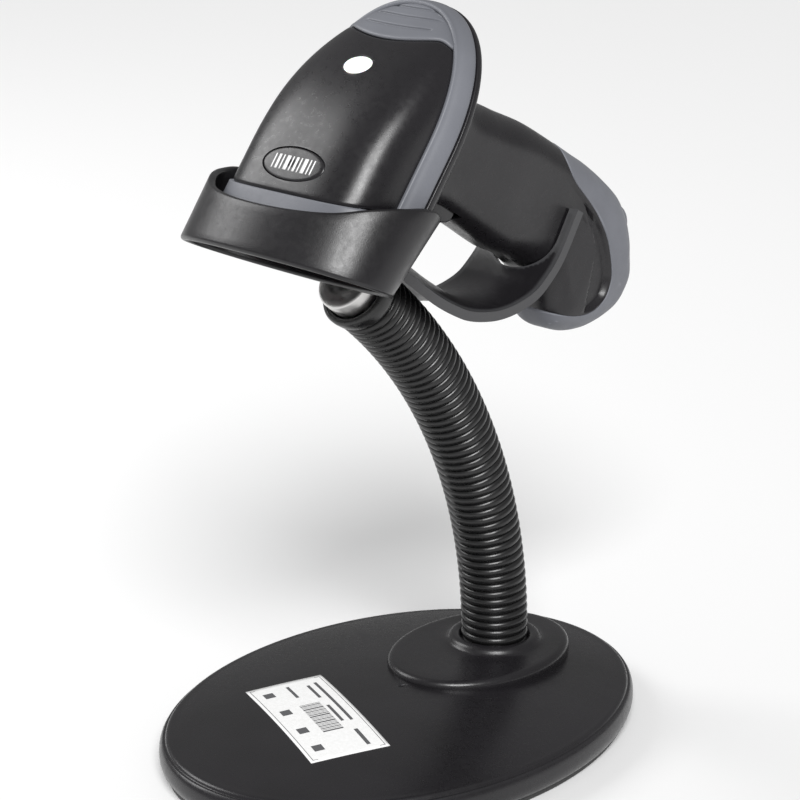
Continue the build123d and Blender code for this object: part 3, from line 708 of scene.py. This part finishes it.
def make_stud():
    turn = np.linspace(0, 2 * math.pi, 96, endpoint=False)
    profile = [(121.3, 0.4), (121.3, 7.4), (121.7, 8.0), (122.4, 8.2), (129.0, 8.2), (129.2, 8.0)]
    profile += [(129.4, 8.0), (129.6, 8.2), (136.5, 8.2), (137.0, 8.0), (137.2, 7.4), (137.2, 0.4)]
    loops = [points_at(r * np.cos(turn), NECK_END_Y + r * np.sin(turn), z) for z, r in profile]
    swept("cradle_post", tip(np.stack(loops, 1)), STEEL, "cradle", "zinc_steel", "cradle_stud", wrap=True)


# ---- scanner head --------------------------------------------------------------------------
def plan_width(inset, y):
    """Half the head's width, taken in by an inset, at a place along its length."""
    past = np.clip((y - HEAD_BACK_Y) / (HEAD_BACK_LENGTH - inset), 0, 1)
    return (HEAD_HALF_WIDTH - inset) * (1 - past**PLAN_POWER) ** (1 / PLAN_POWER)


def crown_height(y):
    run = np.clip((y - CROWN_FRONT_Y) / CROWN_RUN, 0, 0.985)
    return CROWN_HEIGHT * (1 - run * run) ** 1.45


def crown_point(angle, y, depth=0.0):
    """The head's upper bulge, at an angle from its right seam over to its left one."""
    half_width = np.maximum(plan_width(BUMPER_INSET + 0.2, y) - depth, 0.02)
    height = np.maximum(crown_height(y) - depth, 0.05)
    x = half_width * power(np.cos(angle), 2 / CROWN_POWER)
    z = CROWN_SEAM_Z + height * power(np.sin(angle), 2 / CROWN_POWER)
    return points_at(x, y, z)


def cap_edge(x):
    """Where the grey cap begins, across the head."""
    far = np.abs(x)
    return 132.2 + 3.6 * (far / 17.0) ** 2 - 5.5 * smooth_step((far - 15.5) / 9.0)


def shell_front(z):
    """Where the black top shell begins, by height."""
    return 80.0 + (173.4 - z) * 0.45


def settle(angle, rule, start):
    """The place along the head where a column of the crown meets a rule."""
    y = np.full_like(angle, start)
    for _ in range(12):
        y = 0.5 * y + 0.5 * rule(crown_point(angle, y))
    return y


def make_top_shell():
    angle = np.linspace(0, math.pi, 97)
    front = settle(angle, lambda p: shell_front(p[..., 2]), 82.0) + 1.0
    back = settle(angle, lambda p: cap_edge(p[..., 0]), 130.0) - 1.15
    shares = np.linspace(0, 1, 72)
    y = front[:, None] + (back - front)[:, None] * shares
    grid = np.broadcast_to(angle[:, None], y.shape)
    loops = skin_loops(crown_point(grid, y), crown_point(grid, y, WALL), 8)
    shell = swept("upper_shell", tip(loops), SHELL_BLACK, "scanner", "housing_black", "top_shell")
    cut(shell, oval_prism(0.0, BADGE_Y, 11.3, 5.0, 160, 190))
    cut(shell, oval_prism(0.0, STATUS_Y, 4.75, 3.35, 160, 190))


def make_rear_cap():
    angle = np.linspace(0, math.pi, 97)
    front = settle(angle, lambda p: cap_edge(p[..., 0]), 130.0) + 1.0
    shares = np.linspace(0, 1, 84)
    y = front[:, None] + (145.9 - front)[:, None] * shares
    grid = np.broadcast_to(angle[:, None], y.shape)
    outer = crown_point(grid, y, -CAP_PROUD)
    for groove in (137.1, 141.1, 144.6):
        near = np.exp(-(((y - 0.005 * outer[..., 0] ** 2 - groove) / 0.34) ** 2))
        near = near * smooth_step((12.5 - np.abs(outer[..., 0])) / 1.6)
        outer[..., 2] -= 0.65 * near
    loops = skin_loops(outer, crown_point(grid, y, WALL), 8)
    swept("tail_cap", tip(loops), TRIM_GREY, "scanner", "trim_grey", "rear_cap")


def oval_prism(centre_x, centre_y, half_x, half_y, low, high, columns=64):
    turn = np.linspace(0, 2 * math.pi, columns, endpoint=False)
    x, y = centre_x + half_x * np.cos(turn), centre_y + half_y * np.sin(turn)
    return np.array([points_at(x, y, z) for z in (low, high)])


def cut(obj, loops):
    """Cuts a prism, given by its end loops in the scanner's frame, and keeps the cut's edges crisp."""
    cutter = swept("cutter", tip(loops), SHELL_BLACK, "scanner", "housing_black")
    modified(obj, ("BOOLEAN", {"operation": "DIFFERENCE", "object": cutter, "solver": "EXACT"}))
    bpy.data.objects.remove(cutter)
    obj.data.set_sharp_from_angle(angle=math.radians(38))


def on_crown(x, y, lift):
    """Points over a place of the head's plan, lifted off the crown."""
    half_width = plan_width(BUMPER_INSET + 0.2, y)
    z = CROWN_SEAM_Z + crown_height(y) * (1 - np.abs(x / half_width) ** CROWN_POWER) ** (1 / CROWN_POWER)
    return points_at(x, y, z + lift)


def domed_plug(name, half_x, half_y, centre_y, material, slot, node, proud, depth, rim=0.35):
    """A small oval insert whose top follows the crown."""
    turn = np.linspace(0, 2 * math.pi, 72, endpoint=False)
    rows = [(share, proud) for share in (0.02, 0.3, 0.6, 0.85)]
    rows += [(0.95, proud - 0.02), (0.985, proud - rim * 0.4), (1.0, proud - rim)]
    rows += [(1.0, -depth), (0.02, -depth)]
    loops = []
    for share, lift in rows:
        x = share * half_x * np.cos(turn)
        y = centre_y + share * half_y * np.sin(turn)
        loops.append(on_crown(x, y, lift))
    return swept(name, tip(np.stack(loops, 1)), material, "scanner", slot, node, wrap=True)


def make_badge():
    domed_plug("oval_badge", 11.0, 4.75, BADGE_Y, SHELL_BLACK, "housing_black", "badge_plate", 0.02, 0.9)
    points, faces = [], []
    bars = ((-7.2, 1), (-5.9, 2), (-4.2, 1), (-2.9, 3), (-0.8, 1), (0.5, 2), (2.2, 1), (3.5, 3), (5.6, 1),
            (6.9, 1))
    for start, width in bars:
        x0, x1 = start, start + width * 0.42
        reach = 2.1
        first = len(points)
        steps = np.linspace(BADGE_Y - reach, BADGE_Y + reach, 7)
        for y in steps:
            for x, lift in ((x0, -0.02), (x1, -0.02), (x1, 0.06), (x0, 0.06)):
                points.append(on_crown(np.float64(x), np.float64(y), lift))
        for i in range(len(steps) - 1):
            for j in range(4):
                a, b = first + i * 4 + j, first + i * 4 + (j + 1) % 4
                faces.append((a, b, b + 4, a + 4))
        end = first + (len(steps) - 1) * 4
        faces.append((first, first + 1, first + 2, first + 3))
        faces.append((end, end + 1, end + 2, end + 3))
    piece("badge_bars", tip(points), faces, MARK_WHITE, "scanner", "lens_white")


def make_status_lens():
    domed_plug("status_light", 4.55, 3.15, STATUS_Y, LENS_WHITE_GLOWING, "lens_white", "status_lens", 0.12, 1.9)


def plan_path(count_back=97, front=77.0):
    """The head's plan outline from its right front corner round the back to its left one."""
    turn = np.linspace(0, math.pi, count_back)
    x = HEAD_HALF_WIDTH * power(np.cos(turn), 2 / PLAN_POWER)
    y = HEAD_BACK_Y + HEAD_BACK_LENGTH * power(np.sin(turn), 2 / PLAN_POWER)
    side = np.linspace(front, HEAD_BACK_Y, 18)[:-1]
    xs = np.concatenate([np.full(17, HEAD_HALF_WIDTH), x, np.full(17, -HEAD_HALF_WIDTH)])
    ys = np.concatenate([side, y, side[::-1]])
    return xs, ys


def make_bumper():
    xs, ys = plan_path()
    dx, dy = np.gradient(xs), np.gradient(ys)
    length = np.hypot(dx, dy)
    out_x, out_y = dy / length, -dx / length
    band = rounded([(3.9, 154.0), (3.9, 157.5), (3.4, 158.1), (2.5, 158.1), (2.2, 157.3), (1.2, 156.0),
                    (0.35, 154.2), (0.0, 152.9), (0.1, 151.9), (0.9, 151.75), (3.0, 151.75)], 2)
    flange = rounded([(3.0, 151.65), (-0.1, 151.65), (-0.45, 151.3), (-0.45, 149.9), (-0.1, 149.4),
                      (3.0, 149.2)], 2)
    strips = (("bumper_rim", band, TRIM_GREY, "trim_grey", ["bumper_band"]),
              ("lower_flange", flange, SHELL_BLACK, "housing_black", []))
    for name, profile, material, slot, nodes in strips:
        loops = [points_at(xs - inset * out_x, ys - inset * out_y, z) for inset, z in profile]
        swept(name, tip(np.stack(loops, 1)), material, "scanner", slot, *nodes)


def head_silhouette(angle):
    """Distance from the head's axis to its front section's outline, by angle."""
    c, s = np.abs(np.cos(angle)), np.sin(angle)
    up, down = np.clip(s, 0, None), np.clip(-s, 0, None)
    crown = np.where(s >= 0, ((c / 26.3) ** 3.4 + (up / 15.2) ** 3.4) ** (-1 / 3.4), 0)
    belly = np.where(s < 0, ((c / 29.2) ** 3 + (down / 17.2) ** 3) ** (-1 / 3), 0)
    band = np.where((s < 0) & (down < 0.2), 29.3 / np.maximum(c, 0.2), 0)
    return np.maximum(np.maximum(crown, belly), band)


def round_nose(turn, reach, y):
    """A loop round the nose's axis, by its distance from the axis at each angle."""
    return points_at(reach * np.cos(turn), y, NOSE_CENTRE_Z + reach * np.sin(turn))


def make_nose():
    turn = np.linspace(0, 2 * math.pi, 144, endpoint=False)
    reach = head_silhouette(turn)
    kernel = np.array([1, 2, 3, 2, 1]) / 9
    reach = np.convolve(np.concatenate([reach[-2:], reach, reach[:2]]), kernel, "valid") + 0.25
    front_reach = (np.abs(np.cos(turn) / 29.9) ** 2.5 + np.abs(np.sin(turn) / 15.2) ** 2.5) ** (-1 / 2.5)
    height = NOSE_CENTRE_Z + reach * np.sin(turn)
    back = np.where(np.sin(turn) > 0, shell_front(height) - 0.1, 83.0)
    rows = []
    for share in np.linspace(0, 1, 12):
        r = reach + (front_reach - reach) * share**1.5
        rows.append(round_nose(turn, r, back + (NOSE_START_Y - back) * share))
    rim = [(0.3, 0.75), (0.95, 1.1), (2.2, 1.1), (2.8, 0.8), (3.1, 0.2), (3.1, -1.6), (1.9, -1.7),
           (1.9, -7.0)]
    for deep, forward in rim:
        rows.append(round_nose(turn, front_reach - deep, NOSE_START_Y - forward))
    rows.append(round_nose(turn, reach - 1.6, back))
    swept("nose_rim", tip(np.stack(rows, 1)), TRIM_GREY, "scanner", "trim_grey", "nose_frame", wrap=True)
    make_window(turn, front_reach)


def make_window(turn, front_reach):
    """The red window, slightly bulged, just behind the nose's rim."""
    profile = [(0.01, 76.7), (0.3, 76.75), (0.6, 76.85), (0.85, 77.0), (0.94, 77.1), (0.94, 78.6),
               (0.5, 78.3), (0.01, 78.2)]
    rows = [round_nose(turn, (front_reach - 1.3) * share, y) for share, y in profile]
    swept("front_window", tip(np.stack(rows, 1)), WINDOW_TINT, "scanner", "window_tint", "scan_window",
          wrap=True)


def belly_point(angle, y, depth=0.0):
    """The lower housing's bulge, hanging from its right edge round to its left one."""
    run = np.clip((y - 81.0) / 67.0, 0, 1)
    drop = np.maximum(3.2 + 7.2 * (1 - run**3) - depth, 0.05)
    half_width = np.maximum(plan_width(0.6, y) - depth, 0.02)
    x = half_width * power(np.cos(angle), 2 / 3.0)
    z = BELLY_TOP_Z - drop * power(np.sin(angle), 2 / 2.6)
    return points_at(x, y, z)


def make_belly():
    angle = np.linspace(0, math.pi, 81)
    turn = np.linspace(0, math.pi / 2, 44)
    side = np.linspace(81.0, HEAD_BACK_Y, 14)[:-1]
    y = np.concatenate([side, HEAD_BACK_Y + (HEAD_BACK_LENGTH - 0.9) * np.sin(turn)])
    grid_angle, grid_y = np.meshgrid(angle, y)
    outer, inner = belly_point(grid_angle, grid_y), belly_point(grid_angle, grid_y, WALL)
    loops = np.concatenate([outer, inner[:, ::-1]], 1)
    return swept("lower_shell", tip(loops), SHELL_BLACK, "scanner", "housing_black", "lower_housing")


# ---- handle -----------------------------------------------------------------------------------
# Height, front, back and half width at stations down the handle.
HANDLE = np.array((
    (36.2, 112.5, 130.0, 9.4), (37.0, 110.8, 131.6, 9.9), (38.0, 109.5, 132.5, 10.3),
    (41.0, 106.0, 135.0, 11.0), (45.0, 102.4, 138.6, 11.7), (50.0, 99.6, 141.8, 12.0),
    (56.0, 98.2, 144.0, 12.0), (61.0, 99.6, 144.4, 11.8), (66.0, 103.8, 144.5, 11.6),
    (72.0, 107.2, 144.3, 11.4), (80.0, 107.6, 143.4, 11.3), (92.0, 105.4, 142.0, 11.7),
    (104.0, 104.5, 140.2, 12.4), (120.0, 103.0, 136.2, 13.0), (132.0, 100.0, 134.0, 13.6),
    (140.0, 98.0, 135.0, 16.0), (146.0, 94.0, 138.0, 19.2), (150.0, 91.0, 140.0, 20.6),
))
HANDLE_END_Z = HANDLE[0, 0]
# The grip's upper edge: place along and height.
GRIP_LINE = np.array((
    (98.5, 70.0), (99.5, 65.0), (101.5, 59.0), (103.5, 54.5), (106.0, 50.5), (110.0, 47.0), (115.0, 45.2),
    (120.0, 46.5), (124.0, 50.0), (127.5, 54.5), (131.2, 61.0), (133.0, 68.0), (134.2, 76.0), (136.2, 82.0),
    (140.0, 86.4), (146.0, 88.5),
))


def grip_line(y):
    """The height of the grip's upper edge along the handle's side."""
    return flowing(GRIP_LINE[:, 0], GRIP_LINE[:, 1], y)


def side_relief(y, z):
    """How far each side steps in round its flat panel: a thin line behind it, a deep step under it."""
    under = np.interp(y, (105.0, 113.0, 123.5, 127.5, 131.0), (51.0, 54.5, 59.0, 63.5, 70.0))
    slope = (grip_line(y + 0.2) - grip_line(y - 0.2)) / 0.4
    away = (z - grip_line(y)) / np.sqrt(1 + slope**2)
    clear_of_grip = smooth_step((away - 0.5) / 1.7)
    step = smooth_step((under - z) / 0.9)
    line = smooth_step((y - 128.0) / 0.7) * smooth_step((84.0 - z) / 12.0)
    return -clear_of_grip * np.maximum(1.8 * step, 0.4 * line)


def handle_columns(count=260):
    """Columns round the handle: corner sides across and along, and outward direction."""
    rows = []
    for quarter in range(4):
        turn = quarter * math.pi / 2 + np.linspace(0, math.pi / 2, count // 6)
        across = 1.0 if quarter in (0, 3) else -1.0
        along = 1.0 if quarter < 2 else -1.0
        rows += [(across, along, math.cos(a), math.sin(a)) for a in turn]
        if quarter in (0, 2):
            rows += [(across * k, along, 0.0, along) for k in np.linspace(1, -1, 8)[1:-1]]
        else:
            rows += [(across, along * k, across, 0.0) for k in np.linspace(1, -1, count // 9)[1:-1]]
    return np.array(rows)


def handle_point(columns, z, depth=0.0, relief=True):
    """The handle's surface at columns round it and a height."""
    across, along, out_x, out_y = np.moveaxis(columns, -1, 0)
    front, back, half_width = (flowing(HANDLE[:, 0], row, z) for row in HANDLE.T[1:])
    half_length = (back - front) / 2
    radius = np.minimum(0.84 * half_width, half_length - 0.3)
    x = across * (half_width - radius) + (radius - depth) * out_x
    y = (front + back) / 2 + along * (half_length - radius) + (radius - depth) * out_y
    if relief:
        flat = smooth_step((np.abs(out_x) - 0.55) / 0.35)
        x = x + np.sign(out_x) * side_relief(y, z) * flat
    return points_at(x, y, z)


def grip_height(columns):
    """The height at which each column of the handle passes from black shell to grey grip."""
    z = np.linspace(100.0, 40.0, 601)
    y = handle_point(columns[:, None, :], z, relief=False)[..., 1]
    below = z - grip_line(y) < 0
    edge = z[np.argmax(below, axis=1)]
    kernel = np.array([1, 2, 3, 2, 1]) / 9
    return np.convolve(np.concatenate([edge[-2:], edge, edge[:2]]), kernel, "valid")


def make_handle_shell():
    columns = handle_columns()
    low = grip_height(columns) + 0.62
    z = 149.0 + (low[:, None] - 149.0) * np.linspace(0, 1, 210)
    outer = handle_point(columns[:, None, :], z)
    inner = handle_point(columns[:, None, :], z, 1.0)
    handle = swept("handle_shell", tip(skin_loops(outer, inner, 6)), SHELL_BLACK, "scanner", "housing_black",
                   wrap=True)
    slot = ((-7.5, 90), (7.5, 90), (7.5, 112), (-7.5, 112))
    cut(handle, np.array([[(x, y, z) for x, y in slot] for z in (113.2, 141.4)]))


def make_grip():
    columns = handle_columns()
    top = grip_height(columns)
    z = top[:, None] + (HANDLE_END_Z - top[:, None]) * np.linspace(0, 1, 100)
    outer = handle_point(columns[:, None, :], z, -0.15, relief=False)
    rows = [outer]
    last = outer[:, -1]
    across, along, out_x, out_y = columns.T
    hole_x = across * 6.2 + 1.5 * out_x
    hole_y = 121.0 + along * 4.7 + 1.5 * out_y
    hole = points_at(hole_x, hole_y, HANDLE_END_Z)
    for share in (0.3, 0.6, 0.85, 1.0):
        rows.append((last + (hole - last) * share)[:, None])
    rows.append((hole + np.array([0, 0, 2.6]))[:, None])
    inner_top = handle_point(columns, top, 2.2, relief=False)
    inner_low = handle_point(columns, np.full(len(columns), 40.0), 2.2, relief=False)
    for share in np.linspace(0, 1, 24):
        rows.append((inner_low + (inner_top - inner_low) * share)[:, None])
    swept("grip_sleeve", tip(np.concatenate(rows, 1)), GRIP_GREY, "scanner", "grip_grey", "back_grip",
          wrap=True)
    make_lug()


def mirrored(*stations):
    """Stations from one side to the other: (place, taper) pairs, the middle and their mirror image."""
    left = [(-place, taper) for place, taper in stations]
    return left + [(0, 0)] + list(stations[::-1])


def make_lug():
    """The low rounded lug on the back corner of the handle's end."""
    turn = np.linspace(0, 2 * math.pi, 56, endpoint=False)
    loops = []
    for x, shrink in mirrored((5.5, 2.6), (5.3, 1.3), (4.7, 0.5), (3.8, 0.1)):
        r = 7.4 - shrink
        loops.append(points_at(x, 135.6 + r * np.cos(turn), 47.4 + r * np.sin(turn)))
    swept("grip_lug", tip(np.array(loops)), GRIP_GREY, "scanner", "grip_grey")


def make_trigger():
    outline = rounded([(99.8, 140.4), (97.9, 131.0), (99.4, 122.0), (101.2, 116.2), (104.4, 114.8),
                       (109.0, 117.4), (111.0, 128.0), (111.2, 138.4), (106.0, 140.6)], 2)
    middle = np.array([105.0, 128.5])
    loops = []
    for x, pull in mirrored((6.9, 0.9), (6.7, 0.5), (6.2, 0.2), (5.2, 0)):
        side = middle + (outline - middle) * (1 - 0.1 * pull)
        loops.append(points_at(x, side[:, 0], side[:, 1]))
    swept("trigger_key", tip(np.array(loops)), SHELL_BLACK, "trigger_body", "housing_black", "trigger")


# ---- stage ---------------------------------------------------------------------------------------
def make_stage():
    mesh = bpy.data.meshes.new("floor")
    reach = 4.0
    corners = [(-reach, -reach, 0), (reach, -reach, 0), (reach, reach, 0), (-reach, reach, 0)]
    mesh.from_pydata(corners, [], [(0, 1, 2, 3)])
    floor = bpy.data.objects.new("floor", mesh)
    floor.location.z = -0.0003
    material, _, shader = new_material("pale_floor")
    shader.inputs["Base Color"].default_value = (0.9, 0.9, 0.9, 1)
    shader.inputs["Roughness"].default_value = 0.7
    mesh.materials.append(material)
    bpy.context.scene.collection.objects.link(floor)


def soft_light(name, place, target, size, strength):
    data = bpy.data.lights.new(name, "AREA")
    data.shape = "SQUARE"
    data.size = size
    data.energy = strength
    light = bpy.data.objects.new(name, data)
    light.location = place
    light.rotation_mode = "QUATERNION"
    light.rotation_quaternion = (Vector(target) - Vector(place)).to_track_quat("-Z", "Y")
    bpy.context.scene.collection.objects.link(light)


def make_lights():
    world = bpy.data.worlds.new("studio")
    world.use_nodes = True
    world.node_tree.nodes["Background"].inputs["Color"].default_value = (1, 1, 1, 1)
    world.node_tree.nodes["Background"].inputs["Strength"].default_value = 0.28
    bpy.context.scene.world = world
    middle = (0, -0.04, 0.12)
    sun = bpy.data.lights.new("window", "SUN")
    sun.energy = 3.2
    sun.angle = math.radians(28)
    shine = bpy.data.objects.new("window", sun)
    shine.rotation_mode = "QUATERNION"
    shine.rotation_quaternion = Vector((-0.56, 0.5, -0.66)).to_track_quat("-Z", "Y")
    bpy.context.scene.collection.objects.link(shine)
    soft_light("fill", (-0.8, -0.35, 0.7), middle, 0.5, 4.0)
    bpy.context.scene.view_settings.view_transform = "Standard"


def make_camera():
    """The viewpoint: place in metres, azimuth and elevation of its line of sight in degrees."""
    data = bpy.data.cameras.new("camera")
    data.lens = 119.66
    data.sensor_width = 36.0
    camera = bpy.data.objects.new("camera", data)
    camera.location = (0.48465, -0.55753, 0.33355)
    azimuth, elevation = math.radians(43.2), math.radians(18.12)
    level = math.cos(elevation)
    back = Vector((math.sin(azimuth) * level, -math.cos(azimuth) * level, math.sin(elevation)))
    camera.rotation_mode = "QUATERNION"
    camera.rotation_quaternion = (-back).to_track_quat("-Z", "Y")
    bpy.context.scene.collection.objects.link(camera)
    bpy.context.scene.camera = camera


dress_cad_nodes()
make_base()
make_neck()
make_ring()
make_scoop()
make_stud()
make_top_shell()
make_rear_cap()
make_badge()
make_status_lens()
make_bumper()
make_nose()
make_belly()
make_handle_shell()
make_grip()
make_trigger()
make_stage()
make_lights()
make_camera()
